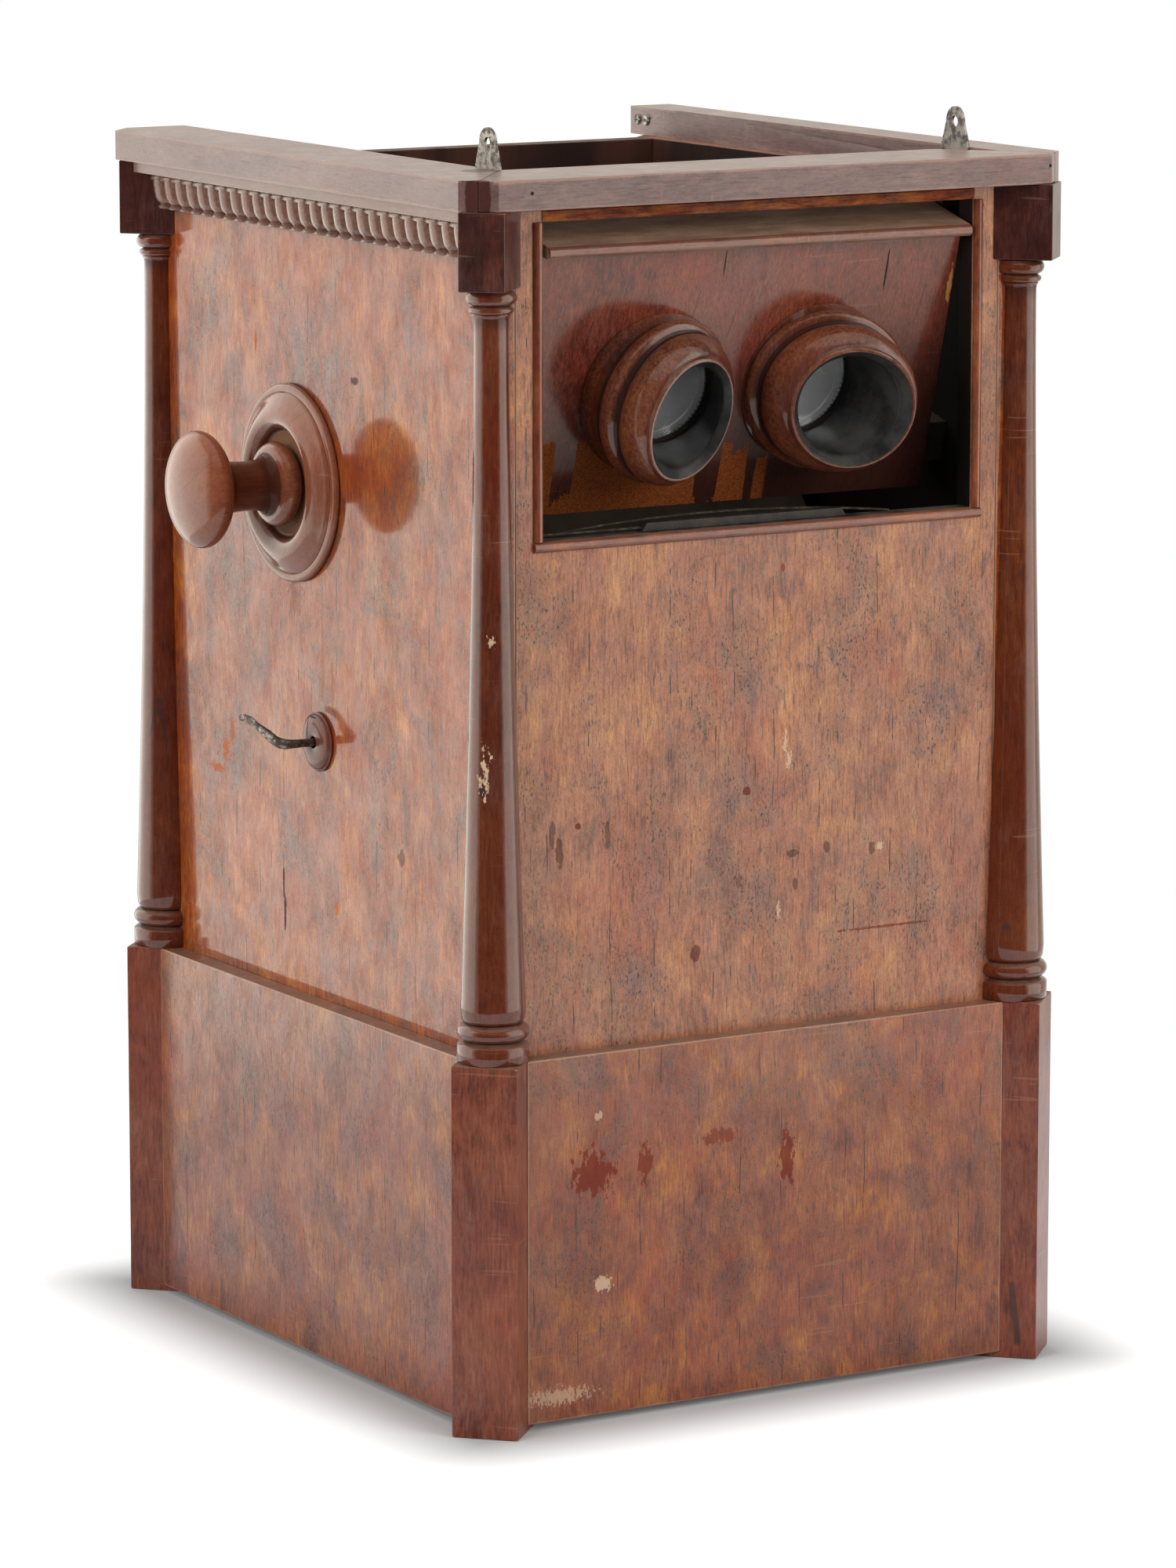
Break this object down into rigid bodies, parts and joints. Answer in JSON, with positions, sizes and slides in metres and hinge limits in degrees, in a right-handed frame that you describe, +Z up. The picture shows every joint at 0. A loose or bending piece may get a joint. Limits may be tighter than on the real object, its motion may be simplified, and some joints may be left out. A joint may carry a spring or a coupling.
{
  "type": "table stereoscope",
  "caption": "Table-top revolving stereoscope: veneered cabinet on a plinth with corner columns, rocking twin eyepieces, and side knobs that turn a drum of hanging stereo cards.",
  "frame": {"origin": "on the floor, under the middle of the overall outline", "axes": "+Z up; -Y is the front, where the eyepieces look out; +X is to the right of a viewer who faces the eyepieces"},
  "size_m": [0.333, 0.3003, 0.4851],
  "materials": {
    "veneer_front": "french-polished figured veneer, worn",
    "veneer_side": "french-polished figured veneer, worn",
    "veneer_plinth": "french-polished figured veneer, worn",
    "turned_wood": "dark red polished hardwood",
    "column_wood": "dark red polished hardwood",
    "cap_wood": "worn greyish polish",
    "moulding_wood": "worn polish",
    "bare_wood": "bare split wood",
    "bead_wood": "worn polish",
    "inner_wood": "blackened wood",
    "board_wood": "polished veneer, part of it missing",
    "eyepiece_wood": "dark polished hardwood",
    "drum_wood": "plain turned wood",
    "escutcheon_wood": "worn turned wood",
    "old_steel": "dull old steel",
    "bearing_brass": "dull brass",
    "spring_steel": "blackened spring steel",
    "tin": "dull tin plate",
    "lens_glass": "clear polished glass",
    "tape": "woven linen tape",
    "card": "plain matt card"
  },
  "bodies": {
    "case": {"bottom_board": "inner_wood", "plinth_front": "veneer_plinth", "plinth_back": "veneer_plinth", "plinth_left": "veneer_plinth", "plinth_right": "veneer_plinth", "post_front_left": "turned_wood", "post_front_right": "turned_wood", "post_back_left": "turned_wood", "post_back_right": "turned_wood", "front_panel": "veneer_front", "back_panel": "veneer_side", "left_wall": "veneer_side", "right_wall": "veneer_side", "column_front_left": "column_wood", "column_front_right": "column_wood", "column_back_left": "column_wood", "column_back_right": "column_wood", "capital_blocks": "turned_wood", "cap_rail_left": "cap_wood", "cap_rail_front": "cap_wood", "cap_rail_right": "cap_wood", "cornice_fillets": "moulding_wood", "gadroon_left": "moulding_wood", "gadroon_right": "moulding_wood", "front_split_strip": "bare_wood", "bead_sides": "bead_wood", "bead_sill": "bead_wood", "sill_strip": "inner_wood", "sill_rod": "old_steel", "leaf_spring": "spring_steel", "lug_left": "old_steel", "lug_right": "old_steel", "slotted_screws": "old_steel", "hinge_blocks": "inner_wood", "board_stops": "inner_wood", "rosette_left": "turned_wood", "rosette_right": "turned_wood", "axle_bushes": "bearing_brass", "card_tapes": "tape", "card_holders": "tin", "stereo_cards": "card", "lever_escutcheon": "escutcheon_wood", "lever_bush": "bearing_brass"},
    "lens_board_set": {"lens_board": "board_wood", "canopy": "cap_wood", "hinge_pins": "old_steel", "eyepiece_left": "eyepiece_wood", "eyepiece_right": "eyepiece_wood", "lens_left": "lens_glass", "lens_right": "lens_glass", "lens_rings": "inner_wood"},
    "drum": {"drum_axle": "old_steel", "card_drum": "drum_wood", "drum_flanges": "drum_wood", "knob_left": "turned_wood", "knob_right": "turned_wood"},
    "card_stop": {"stop_lever": "old_steel", "stop_collar": "bearing_brass", "stop_finger": "old_steel"}
  },
  "joints": [
    {"name": "drum_spin", "type": "hinge", "parent": "case", "child": "drum", "pos_m": [0, 0.022, 0.3415], "axis": [1, 0, 0], "continuous": true},
    {"name": "lens_board_rock", "type": "hinge", "parent": "case", "child": "lens_board_set", "pos_m": [0, -0.101, 0.44975], "axis": [1, 0, 0], "range_deg": [-15, 0]},
    {"name": "stop_lever_turn", "type": "hinge", "parent": "case", "child": "card_stop", "pos_m": [0, 0.002, 0.243], "axis": [1, 0, 0], "range_deg": [-20, 20]}
  ]
}
